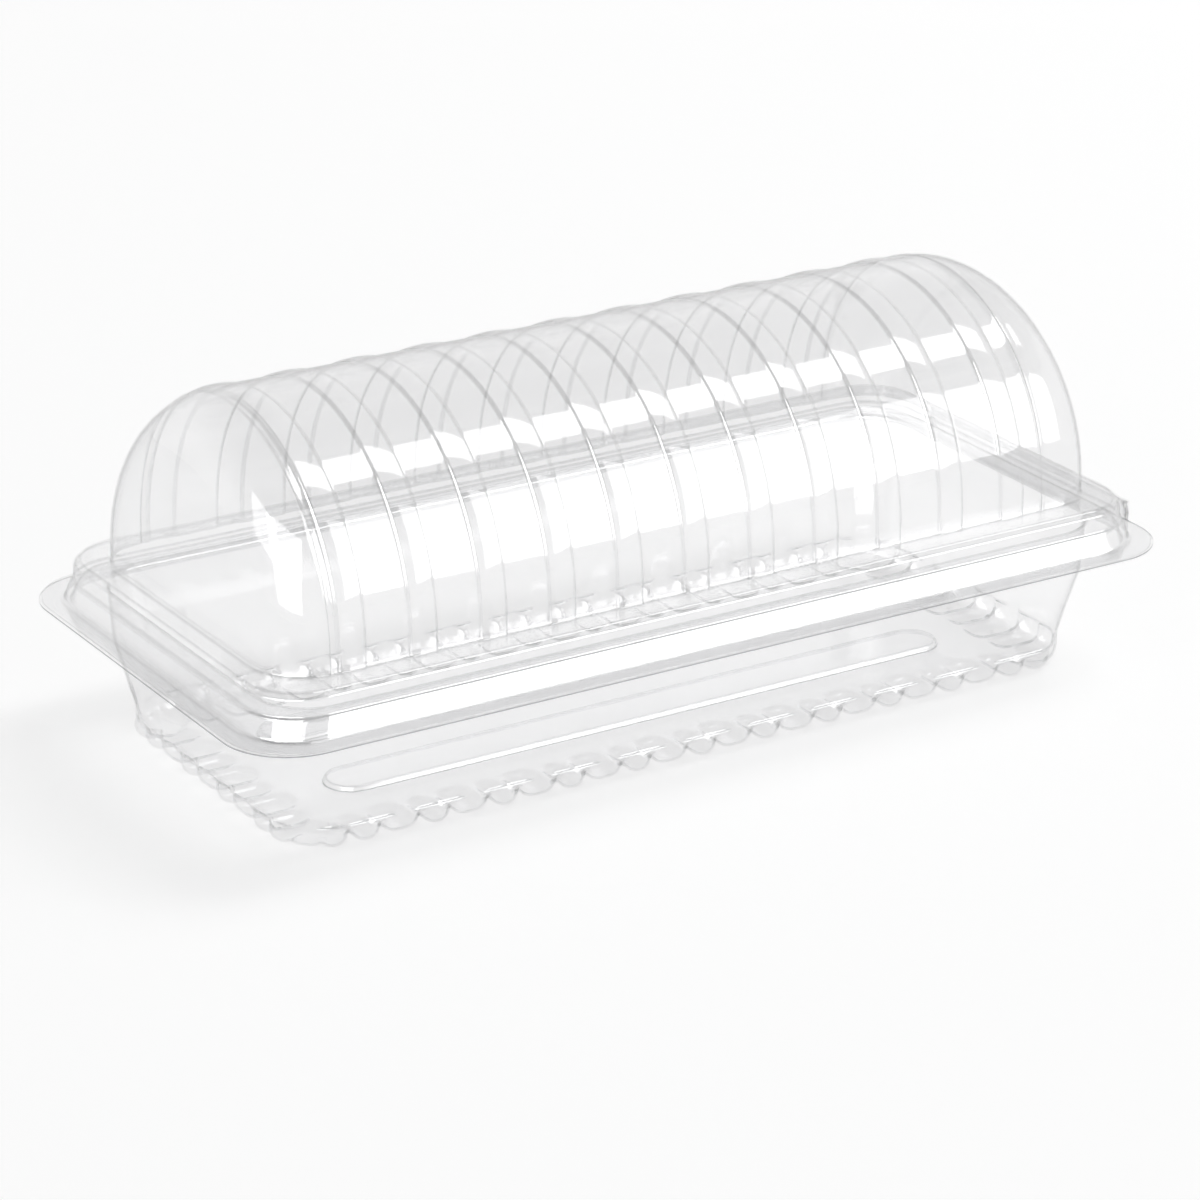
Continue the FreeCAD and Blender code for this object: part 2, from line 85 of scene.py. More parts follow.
# Turns of the rim: half length, half width, corner radius and height
RIM_FOOT = (125.1, 58.2, 15.0)
RIM_BREAK_LOW = (123.65, 56.75, 14.9, 39.35)
RIM_BREAK_HIGH = (123.2, 56.3, 14.7, 39.75)
LEDGE_CHAMFER = 1.35
ARCH_STEPS = 70
WALL_ROWS = 9
CORNER_ROWS = 9
CORNER_TURN = 66

# Lower sheet

TUB = (116.2, 49.8, 14.2)
TUB_KINK = 25.5
LIP_DRAFT = 0.6
WALL_DRAFT = 4.2
FOOT = 5.6
FLOOR = 1.6
COLLAR_TOP = 39.0
COLLAR_X = 123.65
COLLAR_Y = 57.65
COLLAR_DRAFT = 1.6
COLLAR_ROUND = 14.65
# Points along each long side, each end and each corner
SIDE_COUNTS = (240, 84, 26)
FLUTE_PITCH = 18.56
FLUTE_REACH = 7.0
CORNER_REACH = 5.0
# Section of the wall over the foot: how far in from the foot line, and the height
FOOT_PATH = ((-0.42, 7.6), (-0.21, 6.6), (-0.11, 6.1), (-0.16, 5.92), (-0.38, 5.84),
             (-0.56, 5.72), (-0.66, 5.52), (-0.68, 5.3))
CHAMFER_STEPS = 10
# Rows of the floor: how far in from the end of the foot's chamfer
FLOOR_INSETS = (0.6, 1.3, 2.2, 3.2, 4.2, 5.2, 6.4, 7.6, 8.6, 9.4, 10.2, 11.0, 11.8, 12.6)
# Flutes: nose radius, height of the nose, how far it stands out, number along each long side
# and each end, angles round each corner, and half the flat part of the nose
WIDE_FLUTES = (4.2, 5.4, 0.9, 10, 3, (45,), 1.1)
NARROW_FLUTES = (3.7, 3.7, 1.2, 11, 4, (16, 74), 0.0)
CHANNEL_LENGTH = 176.0
CHANNEL_WIDTH = 13.0
CHANNEL_SPACING = 33.0
# Section of a channel's side: how far out of its outline, and the height over the floor
CHANNEL_SECTION = ((0.8, 0.0), (0.3, 0.0), (0.1, 0.08), (-0.05, 0.35), (-0.15, 0.7),
                   (-0.24, 1.05), (-0.34, 1.17), (-0.5, 1.2), (-1.0, 1.2))

# Fold

HINGE_X = 129.5
FOLD_HEIGHT = 38.9
HINGE_HALF = 42.0
# Painted shade that the hinge strips get all over, as at a gentle bend
STRIP_CREASE = 0.15

# Look of the sheet: what it mirrors head on and at a bend, and how much painted shade, grey put into
# its colour, a bend and a slant get

HEAD_ON_MIRROR = 0.05
BEND_MIRROR = 0.12
BEND_SHADE = 0.1
SLANT_SHADE = 0.8


def millimetres(points):
    return np.asarray(points, float) * 0.001


# Sheet meshes

def corner_normals(points, faces):
    """Area-weighted normals of the vertices."""
    normals = np.zeros_like(points)
    for size in (3, 4):
        group = np.array([f for f in faces if len(f) == size], int)
        if not len(group):
            continue
        last = group[:, -1]
        if size == 3:
            cross = np.cross(points[group[:, 1]] - points[group[:, 0]],
                             points[last] - points[group[:, 0]])
        else:
            cross = np.cross(points[group[:, 2]] - points[group[:, 0]],
                             points[last] - points[group[:, 1]])
        for column in range(size):
            np.add.at(normals, group[:, column], cross)
    length = np.linalg.norm(normals, axis=1, keepdims=True)
    return normals / np.maximum(length, 1e-12)


def bend(points, normals, faces):
    """How tightly the sheet bends at each vertex, in turns of normal per millimetre."""
    tight = np.zeros(len(points))
    for size in (3, 4):
        group = np.array([f for f in faces if len(f) == size], int)
        if not len(group):
            continue
        for column in range(size):
            a, b = group[:, column], group[:, (column + 1) % size]
            span = np.linalg.norm(points[a] - points[b], axis=1)
            turn = np.arccos(np.clip((normals[a] * normals[b]).sum(1), -1, 1))
            rate = turn / np.maximum(span, 0.15)
            np.maximum.at(tight, a, rate)
            np.maximum.at(tight, b, rate)
    return tight


def make_object(name, points, faces, edge_faces, crease, materials):
    mesh = bpy.data.meshes.new(name)
    mesh.from_pydata([tuple(p) for p in millimetres(points)], [], [tuple(map(int, f)) for f in faces])
    for material in materials:
        mesh.materials.append(material)
    if edge_faces is not None:
        mesh.polygons.foreach_set("material_index", edge_faces.astype(np.int32))
    mesh.polygons.foreach_set("use_smooth", np.ones(len(faces), bool))
    # Crease mask, read by the material for painted shade at tight bends
    attribute = mesh.attributes.new("crease", "FLOAT", "POINT")
    attribute.data.foreach_set("value", crease.astype(np.float32))
    mesh.validate()
    mesh.update()
    thing = bpy.data.objects.new(name, mesh)
    bpy.context.scene.collection.objects.link(thing)
    return thing


def thick_sheet(name, points, faces, rims, materials, soft_edge=0.2, hard_edge=1.3):
    """A closed sheet from its outer side: the inner side, and a strip along each rim."""
    points = np.asarray(points, float)
    normals = corner_normals(points, faces)
    inner = points - normals * WALL
    count = len(points)
    # Bend tightness becomes the crease mask, which the material turns into painted shade at tight
    # bends
    tight = bend(points, normals, faces)
    crease = np.clip((tight - soft_edge) / (hard_edge - soft_edge), 0, 1)
    whole = list(faces) + [tuple(count + i for i in reversed(f)) for f in faces]
    kinds = [0] * len(whole)
    all_points = [points, inner]
    creases = [crease, crease]
    start = 2 * count
    for rim in rims:
        rim = np.asarray(rim, int)
        all_points += [points[rim], inner[rim]]
        # The rim strips get the full painted shade of a crease
        creases += [np.ones(len(rim)), np.ones(len(rim))]
        size = len(rim)
        for i in range(size):
            j = (i + 1) % size
            whole.append((start + i, start + size + i, start + size + j, start + j))
            kinds.append(1)
        start += 2 * size
    thing = make_object(name, np.vstack(all_points), whole, np.array(kinds),
                        np.concatenate(creases), materials)
    merge_rims(thing)
    return thing


def merge_rims(thing):
    """Joins the rim strips to the two sides, so that the sheet is closed."""
    work = bmesh.new()
    work.from_mesh(thing.data)
    bmesh.ops.remove_doubles(work, verts=work.verts, dist=1e-8)
    bmesh.ops.recalc_face_normals(work, faces=work.faces)
    work.to_mesh(thing.data)
    work.free()


# Outline of a rounded rectangle, one point per key

def ring(keys, half_x, half_y, corner):
    """Points for keys (side, place): sides S, E, N, W with place -1 to 1, corners 0 to 1."""
    right, top = half_x - corner, half_y - corner
    out = np.empty((len(keys), 2))
    for row, (side, place) in enumerate(keys):
        if side == "S":
            out[row] = (place * right, -half_y)
        elif side == "E":
            out[row] = (half_x, place * top)
        elif side == "N":
            out[row] = (-place * right, half_y)
        elif side == "W":
            out[row] = (-half_x, -place * top)
        else:
            first = {"SE": -0.5, "NE": 0.0, "NW": 0.5, "SW": 1.0}[side]
            angle = math.pi * (first + place / 2)
            centre_x = right if "E" in side else -right
            centre_y = top if "N" in side else -top
            out[row] = (centre_x + corner * math.cos(angle), centre_y + corner * math.sin(angle))
    return out


def outward(keys):
    """The level direction that points out of the outline at each key."""
    out = np.empty((len(keys), 2))
    level = {"S": (0, -1), "E": (1, 0), "N": (0, 1), "W": (-1, 0)}
    for row, (side, place) in enumerate(keys):
        if side in level:
            out[row] = level[side]
        else:
            first = {"SE": -0.5, "NE": 0.0, "NW": 0.5, "SW": 1.0}[side]
            angle = math.pi * (first + place / 2)
            out[row] = (math.cos(angle), math.sin(angle))
    return out


def with_height(flat, height):
    return np.column_stack([flat, np.full(len(flat), float(height))])


def stack_faces(first, second):
    """Quads between two closed rows of vertex numbers, both in the same order."""
    size = len(first)
    return [(first[i], first[(i + 1) % size], second[(i + 1) % size], second[i])
            for i in range(size)]


# Upper sheet: flange, rim, ledge and ribbed barrel

def rib_height(x):
    """How far the barrel stands out at a place along the pack."""
    total = 0.0
    for number in range(RIB_COUNT):
        away = abs(x - RIB_FIRST - number * RIB_PITCH)
        if away < RIB_HALF:
            side = min((RIB_HALF - away) / RIB_SIDE, 1)
            total += RIB_STEP * side * side * (3 - 2 * side)
            total += (RIB_RISE - RIB_STEP) * (1 - (away / RIB_HALF) ** 2)
    for place in BEAD_PLACES:
        away = abs(x - place)
        if away < BEAD_HALF:
            total += BEAD_RISE * math.cos(away / BEAD_HALF * math.pi / 2) ** 2
    return total


def barrel_places():
    """Places of the rows along the straight part, finer on the ribs."""
    low, high = -SHOULDER, SHOULDER
    places = {low, low + SHOULDER_STEP, high - SHOULDER_STEP, high, *SHOULDER_ROWS}
    for number in range(RIB_COUNT):
        centre = RIB_FIRST + number * RIB_PITCH
        places.update(centre + away for away in RIB_ROWS)
        places.update((centre + RIB_PITCH * 0.36, centre + RIB_PITCH / 2, centre + RIB_PITCH * 0.64))
    for place in BEAD_PLACES:
        places.update(place + away for away in BEAD_ROWS)
    return sorted(p for p in places if low <= p <= high)


def arch(radius, steps=ARCH_STEPS):
    """Section of the barrel from the foot at -Y over the top to the foot at +Y."""
    foot = LEDGE_TOP + BASE_FILLET
    legs = [(-radius, foot), (-radius, foot + (DOME_AXIS - foot) / 2)]
    turn = np.linspace(0, math.pi, steps + 1)
    curve = [(-radius * math.cos(a), DOME_AXIS + radius * math.sin(a)) for a in turn]
    return np.array(legs + curve + [(y * -1, z) for y, z in reversed(legs)])


def corner_radius(points):
    """Size of the end rounding, larger towards the top of the arch."""
    share = np.clip((points[:, 1] - LEDGE_TOP) / (DOME[1] + DOME_AXIS - LEDGE_TOP), 0, 1)
    return DOME_CORNER_LOW + (DOME_CORNER_HIGH - DOME_CORNER_LOW) * share ** 1.5


def section_normals(points):
    """Unit directions out of the section, level on the legs."""
    out = np.zeros_like(points)
    high = points[:, 1] > DOME_AXIS
    out[:, 0] = np.sign(points[:, 0])
    rise = points[high] - (0, DOME_AXIS)
    out[high] = rise / np.linalg.norm(rise, axis=1, keepdims=True)
    return out


def shoulder_inset(round_off, x):
    """How far the end rounding draws each line of the barrel in at a place."""
    into = np.maximum(round_off - (DOME[0] - abs(x)), 0)
    return round_off - np.sqrt(round_off ** 2 - into ** 2)


def barrel_rows():
    """Rows of the dome from one end wall to the other, and the outline key of each foot."""
    section = arch(DOME[1])
    away = section_normals(section)
    round_off = corner_radius(section)
    rows = []
    keys = []
    middle = np.array([0, LEDGE_TOP + BASE_FILLET])
    for end in (-1, 1):
        part = []
        part_keys = []
        wall = section - away * round_off[:, None]
        for step in range(1, WALL_ROWS):
            share = step / WALL_ROWS
            flat = middle + (wall - middle) * share
            part.append(np.column_stack([np.full(len(flat), end * DOME[0]), flat]))
            part_keys.append(("end", share))
        for step in range(CORNER_ROWS + 1):
            angle = math.radians(step / CORNER_ROWS * CORNER_TURN)
            inset = round_off * (1 - math.sin(angle))
            along = DOME[0] - round_off * (1 - math.cos(angle))
            flat = section - away * inset[:, None]
            part.append(np.column_stack([end * along, flat]))
            part_keys.append(("corner", step / (CORNER_ROWS + 1)))
        if end > 0:
            part, part_keys = part[::-1], part_keys[::-1]
        rows.append(part)
        keys.append(part_keys)
    body = []
    body_keys = []
    for x in barrel_places():
        rise = rib_height(x) - shoulder_inset(round_off, x)
        flat = section + away * rise[:, None]
        body.append(np.column_stack([np.full(len(flat), x), flat]))
        body_keys.append(("side", x / SHOULDER))
    return rows[0] + body + rows[1], keys[0] + body_keys + keys[1]


def loop_keys(row_keys):
    """Outline keys of the feet, round the dome from the middle of the -X end."""
    south = []
    for number, (kind, place) in enumerate(row_keys):
        left = number < len(row_keys) / 2
        if kind == "end":
            south.append(("W", place) if left else ("E", -place))
        elif kind == "corner":
            south.append(("SW", place) if left else ("SE", 1 - place))
        else:
            south.append(("S", place))
    mirror = {"W": "W", "E": "E", "SW": "NW", "SE": "NE", "S": "N"}
    north = []
    for side, place in reversed(south):
        turned = 1 - place if len(side) == 2 else -place
        north.append((mirror[side], turned))
    return [("W", 0.0)] + south + [("E", 0.0)] + north


def rounded_profile(corners, steps=2, guard=0.4):
    """Rings along a profile: each corner has a size, a height and the reach of its bend."""
    values = [np.array(corner[:4], float) for corner in corners]
    rings = []
    for number, here in enumerate(values):
        reach = corners[number][4]
        if not reach:
            rings.append(here)
            continue
        back, ahead = values[number - 1] - here, values[number + 1] - here
        back_span, ahead_span = (math.hypot(side[1], side[3]) for side in (back, ahead))
        first = here + back / back_span * reach
        last = here + ahead / ahead_span * reach
        if back_span > 4 * guard:
            rings.append(here + back / back_span * (reach + guard))
        for step in range(steps + 1):
            share = step / steps
            rings.append(first * (1 - share) ** 2 + here * 2 * share * (1 - share) + last * share ** 2)
        if ahead_span > 4 * guard:
            rings.append(here + ahead / ahead_span * (reach + guard))
    return [tuple(ring_size) for ring_size in rings]


def upper_rings():
    """Sizes and heights of the rim's rings, from the flange edge up to the ledge."""
    flange_top = PARTING + SEAM + WALL
    edge_x = FLANGE[0] - LEAF_ROOM
    return rounded_profile([
        (edge_x, FLANGE[1], FLANGE[2], flange_top, 0),
        (edge_x - EDGE_GUARD, FLANGE[1] - EDGE_GUARD, FLANGE[2] - EDGE_GUARD, flange_top, 0),
        (*RIM_FOOT, flange_top, 0.5),
        (*RIM_BREAK_LOW, 0.15),
        (*RIM_BREAK_HIGH, 0.15),
        (LEDGE[0] + 0.05, LEDGE[1] + 0.05, LEDGE[2], LEDGE_TOP - 1.4, 0.3),
        (LEDGE[0] - LEDGE_CHAMFER, LEDGE[1] - LEDGE_CHAMFER, 13.5, LEDGE_TOP, 0.3),
        (LEDGE[0] - 4.2, LEDGE[1] - 5.2, 13.2, LEDGE_TOP, 0),
    ])


def upper_sheet(materials):
    rows, row_keys = barrel_rows()
    keys = loop_keys(row_keys)
    columns = len(rows[0])
    points = []
    for row in rows:
        points.extend(row)
    left_pole = len(points)
    points.append((-DOME[0], 0, LEDGE_TOP + BASE_FILLET))
    right_pole = len(points)
    points.append((DOME[0], 0, LEDGE_TOP + BASE_FILLET))

    def at(row, column):
        return row * columns + column

    faces = []
    for row in range(len(rows) - 1):
        for column in range(columns - 1):
            faces.append((at(row, column), at(row + 1, column),
                          at(row + 1, column + 1), at(row, column + 1)))
    last = len(rows) - 1
    for column in range(columns - 1):
        faces.append((left_pole, at(0, column), at(0, column + 1)))
        faces.append((right_pole, at(last, column + 1), at(last, column)))
    base = [left_pole] + [at(row, 0) for row in range(len(rows))] + [right_pole]
    base += [at(row, columns - 1) for row in reversed(range(len(rows)))]
    foot = np.array([points[i] for i in base])
    away = outward(keys)

    upper = base
    for step in range(1, 5):
        angle = step / 4 * math.pi / 2
        flat = foot[:, :2] + away * BASE_FILLET * (1 - math.cos(angle))
        height = LEDGE_TOP + BASE_FILLET * (1 - math.sin(angle))
        numbers = list(range(len(points), len(points) + len(base)))
        points.extend(with_height(flat, height))
        faces.extend(stack_faces(numbers, upper))
        upper = numbers
    numbers = list(range(len(points), len(points) + len(base)))
    points.extend(with_height(foot[:, :2] + away * (BASE_FILLET + 0.5), LEDGE_TOP))
    faces.extend(stack_faces(numbers, upper))
    upper = numbers
    for half_x, half_y, corner, height in reversed(upper_rings()):
        numbers = list(range(len(points), len(points) + len(base)))
        points.extend(with_height(ring(keys, half_x, half_y, corner), height))
        faces.extend(stack_faces(numbers, upper))
        upper = numbers
    return thick_sheet("clear_lid_sheet", points, faces, [upper], materials)


# Lower sheet: flange, collar, tub, flutes and floor with two channels

def tub_keys():
    long_count, end_count, corner_count = SIDE_COUNTS
    keys = []
    for side, corner, count in (("S", "SE", long_count), ("E", "NE", end_count),
                                ("N", "NW", long_count), ("W", "SW", end_count)):
        keys += [(side, -1 + 2 * i / count) for i in range(count)]
        keys += [(corner, i / corner_count) for i in range(corner_count)]
    return keys


def flute_bars():
    """Every flute: nose centre, inward direction, length, nose radius, half width and half height."""
    foot_x, foot_y, corner = TUB[0] - WALL_DRAFT, TUB[1] - WALL_DRAFT, TUB[2]
    bars = []
    for radius, height, extra, long_count, end_count, angles, flat in (WIDE_FLUTES, NARROW_FLUTES):
        for way in (-1, 1):
            for number in range(long_count):
                x = (number - (long_count - 1) / 2) * FLUTE_PITCH
                y = way * (foot_y - radius + extra)
                bars.append(((x, y, height), (0, -way), FLUTE_REACH, radius, flat))
            for number in range(end_count):
                y = (number - (end_count - 1) / 2) * FLUTE_PITCH
                x = way * (foot_x - radius + extra)
                bars.append(((x, y, height), (-way, 0), FLUTE_REACH, radius, flat))
        reach = corner - radius + extra
        for side in (-1, 1):
            for end in (-1, 1):
                for degrees in angles:
                    c, s = math.cos(math.radians(degrees)), math.sin(math.radians(degrees))
                    x = end * (foot_x - corner + reach * c)
                    y = side * (foot_y - corner + reach * s)
                    bars.append(((x, y, height), (-end * c, -side * s), CORNER_REACH, radius, flat))
    return bars


def inside_flutes(points, bars, soft=0.09):
    """Signed distance to the joined flutes, rounded a little where they meet."""
    total = np.zeros(points.shape[:-1])
    for centre, (in_x, in_y), reach, radius, flat in bars:
        rel = points - np.array(centre)
        along = rel[..., 0] * in_x + rel[..., 1] * in_y
        along = along - np.clip(along, 0, reach)
        across = rel[..., 0] * -in_y + rel[..., 1] * in_x
        across = across - np.clip(across, -flat, flat)
        up = rel[..., 2] - np.clip(rel[..., 2], -flat, flat)
        gap = np.sqrt(along ** 2 + across ** 2 + up ** 2) - radius
        total += np.exp(np.clip(-gap / soft, -60, 60))
    return -soft * np.log(total + 1e-30)


def push_out(points, directions, bars, longest=7.0, samples=36):
    """Moves points out along their directions to the far side of the flutes."""
    steps = np.linspace(0, longest, samples)
    trial = points[:, None, :] + steps[None, :, None] * directions[:, None, :]
    inside = inside_flutes(trial, bars) < 0
    found = inside.any(axis=1)
    last = samples - 1 - np.argmax(inside[:, ::-1], axis=1)
    low = np.where(found, steps[last], 0.0)
    high = np.where(found, steps[np.minimum(last + 1, samples - 1)], 0.0)
    for _ in range(9):
        middle = (low + high) / 2
        gap = inside_flutes(points + middle[:, None] * directions, bars)
        low = np.where(gap < 0, middle, low)
        high = np.where(gap < 0, high, middle)
    moved = points + low[:, None] * directions
    moved[:, 2] = np.maximum(moved[:, 2], 0.0)
    return moved


def lower_rings():
    """Sizes and heights of the sheet's underside rings, from the flange edge to the tub wall."""
    under = PARTING - WALL
    x, y, corner = COLLAR_X - WALL, COLLAR_Y - WALL, COLLAR_ROUND - WALL
    top = COLLAR_TOP - WALL
    share = 0.6
    return rounded_profile([
        (*FLANGE, under, 0),
        (FLANGE[0] - EDGE_GUARD, FLANGE[1] - EDGE_GUARD, FLANGE[2] - EDGE_GUARD, under, 0),
        (x, y, corner, under, 0.5),
        (x - COLLAR_DRAFT, y - COLLAR_DRAFT, corner, top, 0.5),
        (TUB[0] + LIP_DRAFT, TUB[1] + LIP_DRAFT, TUB[2], top, 0.7),
        (TUB[0], TUB[1], TUB[2], TUB_KINK, 0.25),
        (TUB[0] - WALL_DRAFT * share, TUB[1] - WALL_DRAFT * share, TUB[2],
         TUB_KINK - (TUB_KINK - FOOT) * share, 0),
    ])


def lower_sheet(materials):
    keys = tub_keys()
    away = outward(keys)
    bars = flute_bars()
    count = len(keys)
    points = []
    faces = []
    upper = None

    def add(flat):
        nonlocal upper
        numbers = list(range(len(points), len(points) + count))
        points.extend(flat)
        if upper is not None:
            faces.extend(stack_faces(numbers, upper))
        upper = numbers
        return numbers

    for half_x, half_y, corner, height in lower_rings():
        numbers = add(with_height(ring(keys, half_x, half_y, corner), height))
        if len(numbers) == len(points):
            rim = numbers
    foot_x, foot_y = TUB[0] - WALL_DRAFT, TUB[1] - WALL_DRAFT
    chamfer = FOOT - FLOOR
    path = [(inset, height, 0) for inset, height in FOOT_PATH]
    low_x, low_z = FOOT_PATH[-1]
    for step in range(1, CHAMFER_STEPS + 1):
        share = step / CHAMFER_STEPS
        path.append((low_x + (chamfer - low_x) * share, low_z + (FLOOR - low_z) * share,
                     0.12 + 0.76 * share))
    path += [(chamfer + inset, FLOOR, 1.0) for inset in FLOOR_INSETS]
    for inset, height, tilt in path:
        corner = max(TUB[2] - inset, 3.0)
        flat = with_height(ring(keys, foot_x - inset, foot_y - inset, corner), height)
        lean = tilt * math.pi / 2
        directions = np.column_stack([away * math.cos(lean), np.full(count, -math.sin(lean))])
        add(push_out(flat, directions, bars))
    for number in upper:
        x, y, z = points[number]
        points[number] = (x, y, FLOOR)

    fill_floor(points, faces, upper)
    return thick_sheet("clear_tray_sheet", points, faces, [rim], materials)


def channel_loop(y, half_length, half_width, count=22):
    """A long outline with round ends, counter-clockwise."""
    turn = np.linspace(-math.pi / 2, math.pi / 2, count)
    right = [(half_length - half_width + half_width * math.cos(a), y + half_width * math.sin(a))
             for a in turn]
    left = [(-px, 2 * y - py) for px, py in right]
    return right + left


def fill_floor(points, faces, outer):
    """Closes the floor round its two raised channels."""
    loops = []
    for way in (-1, 1):
        y = way * CHANNEL_SPACING / 2
        previous = None
        for out, rise in CHANNEL_SECTION:
            loop = channel_loop(y, CHANNEL_LENGTH / 2 + out, CHANNEL_WIDTH / 2 + out)
            height = FLOOR + rise
            numbers = list(range(len(points), len(points) + len(loop)))
            points.extend([(px, py, height) for px, py in loop])
            if previous is None:
                loops.append(numbers)
            else:
                faces.extend(stack_faces(numbers, previous))
            previous = numbers
        fill_flat(points, faces, [previous], [])
    fill_flat(points, faces, [outer], loops)


def fill_flat(points, faces, outlines, holes):
    """Triangles over a level outline, leaving out its holes."""
    numbers = []
    edges = []
    for loop in outlines + holes:
        start = len(numbers)
        numbers += list(loop)
        size = len(loop)
        edges += [(start + i, start + (i + 1) % size) for i in range(size)]
    flat = [Vector((points[n][0], points[n][1])) for n in numbers]
    _, _, triangles, origin, _, _ = delaunay_2d_cdt(flat, edges, [], 1, 1e-5)
    lookup = [numbers[found[0]] for found in origin]
    for triangle in triangles:
        trio = [lookup[i] for i in triangle]
        middle = np.mean([points[n][:2] for n in trio], axis=0)
        if any(within(middle, [points[n][:2] for n in hole]) for hole in holes):
            continue
        a, b, c = (np.array(points[n][:2]) for n in trio)
        turn = (b[0] - a[0]) * (c[1] - a[1]) - (b[1] - a[1]) * (c[0] - a[0])
        faces.append(tuple(trio) if turn < 0 else tuple(reversed(trio)))


def within(place, outline):
    """Whether a place lies inside an outline."""
    inside = False
    x, y = place
    for (ax, ay), (bx, by) in zip(outline, outline[1:] + outline[:1]):
        if (ay > y) != (by > y) and x < (bx - ax) * (y - ay) / (by - ay) + ax:
            inside = not inside
    return inside


# Hinge leaves and fold

def strip(name, outline, materials, half=HINGE_HALF, steps=28):
    """A closed bar along Y with the outline in the XZ plane, its ends flat."""
    outline = np.asarray(outline, float)
    size = len(outline)
    points = []
    faces = []
    places = np.linspace(-half, half, steps + 1)
    for y in places:
        points.extend([(x, y, z) for x, z in outline])
    for step in range(steps):
        for i in range(size):
            j = (i + 1) % size
            faces.append((step * size + i, step * size + j,
                          (step + 1) * size + j, (step + 1) * size + i))
    faces.append(tuple(range(size)))
    faces.append(tuple(steps * size + i for i in reversed(range(size))))
    kinds = np.zeros(len(faces), int)
    thing = make_object(name, points, faces, kinds, np.full(len(points), STRIP_CREASE), materials)
    merge_rims(thing)
    return thing


def leaf_outline(x, low, high):
    return [(x, low), (x + WALL, low), (x + WALL, high), (x, high)]


def fold_outline():
    """A thin arc over the top of the two leaves."""
    outer, inner = 0.5, 0.15
    turn = np.linspace(0, math.pi, 13)
    arc = [(HINGE_X + outer * math.cos(a), FOLD_HEIGHT + outer * math.sin(a)) for a in turn]
    arc += [(HINGE_X + inner * math.cos(a), FOLD_HEIGHT + inner * math.sin(a)) for a in turn[::-1]]
    return arc


# Materials

def node(tree, kind, **values):
    made = tree.nodes.new(kind)
    for name, value in values.items():
        setattr(made, name, value)
    return made


def math_node(tree, operation, *inputs):
    made = node(tree, "ShaderNodeMath", operation=operation)
    for place, value in enumerate(inputs):
        if isinstance(value, (int, float)):
            made.inputs[place].default_value = value
        else:
            tree.links.new(value, made.inputs[place])
    return made.outputs[0]


def clear_plastic(name, tint, edge=0.0):
    """Thin clear glossy sheet: see-through, mirroring more at a slant and at tight bends, with painted
    shade that greys it at a slant, at tight bends and along cut edges.
    """
    material = bpy.data.materials.new(name)
    material.use_nodes = True
    tree = material.node_tree
    tree.nodes.clear()
    output = node(tree, "ShaderNodeOutputMaterial")
    place = node(tree, "ShaderNodeTexCoord").outputs["Object"]

    broad = node(tree, "ShaderNodeTexNoise")
    broad.inputs["Scale"].default_value = 26
    broad.inputs["Detail"].default_value = 2
    tree.links.new(place, broad.inputs["Vector"])
    fine = node(tree, "ShaderNodeTexNoise")
    fine.inputs["Scale"].default_value = 380
    fine.inputs["Detail"].default_value = 3
    tree.links.new(place, fine.inputs["Vector"])
    bump = node(tree, "ShaderNodeBump")
    bump.inputs["Strength"].default_value = 0.2
    bump.inputs["Distance"].default_value = 0.0004
    tree.links.new(broad.outputs[0], bump.inputs["Height"])

    crease = node(tree, "ShaderNodeAttribute", attribute_name="crease").outputs["Fac"]
    slant = node(tree, "ShaderNodeLayerWeight")
    slant.inputs["Blend"].default_value = 0.5
    facing = slant.outputs["Facing"]
    mirror = math_node(tree, "POWER", facing, 5)
    mirror = math_node(tree, "MULTIPLY_ADD", mirror, 1 - HEAD_ON_MIRROR, HEAD_ON_MIRROR)
    mirror = math_node(tree, "MULTIPLY_ADD", crease, BEND_MIRROR, mirror)
    mirror = math_node(tree, "MINIMUM", mirror, 0.95)

    # Painted shade: the see-through colour and the mirror colour are ramped towards grey at a slant,
    # at tight bends and at cut edges, with a little random unevenness
    painted_shade = math_node(tree, "POWER", facing, 9)
    painted_shade = math_node(tree, "MULTIPLY", painted_shade, SLANT_SHADE)
    painted_shade = math_node(tree, "MULTIPLY_ADD", crease, BEND_SHADE, painted_shade)
    painted_shade = math_node(tree, "MULTIPLY_ADD", broad.outputs[0], 0.02, painted_shade)
    painted_shade = math_node(tree, "ADD", painted_shade, edge)
    # Ramp from the plastic's own tint to the grey of full painted shade
    shade = node(tree, "ShaderNodeValToRGB")
    shade.color_ramp.elements[0].position = 0.0
    shade.color_ramp.elements[0].color = (*tint, 1)
    shade.color_ramp.elements[1].position = 1.0
    shade.color_ramp.elements[1].color = (0.5, 0.5, 0.505, 1)
    tree.links.new(painted_shade, shade.inputs[0])

    clear = node(tree, "ShaderNodeBsdfTransparent")
    tree.links.new(shade.outputs[0], clear.inputs["Color"])
    gloss = node(tree, "ShaderNodeBsdfGlossy")
    # The mirror images take the same painted shade
    tree.links.new(shade.outputs[0], gloss.inputs["Color"])
    rough = node(tree, "ShaderNodeMapRange")
    rough.inputs["To Min"].default_value = 0.01
    rough.inputs["To Max"].default_value = 0.06
    tree.links.new(fine.outputs[0], rough.inputs["Value"])
    tree.links.new(rough.outputs[0], gloss.inputs["Roughness"])
    tree.links.new(bump.outputs[0], gloss.inputs["Normal"])
    mix = node(tree, "ShaderNodeMixShader")
    tree.links.new(mirror, mix.inputs[0])
    tree.links.new(clear.outputs[0], mix.inputs[1])
    tree.links.new(gloss.outputs[0], mix.inputs[2])
    tree.links.new(mix.outputs[0], output.inputs["Surface"])
    return material


def seen(tree):
    """1 for rays from the camera, from a mirror and through glass."""
    path = node(tree, "ShaderNodeLightPath")
    total = math_node(tree, "ADD", path.outputs["Is Camera Ray"], path.outputs["Is Glossy Ray"])
    total = math_node(tree, "ADD", total, path.outputs["Is Transmission Ray"])
    return math_node(tree, "MINIMUM", total, 1)


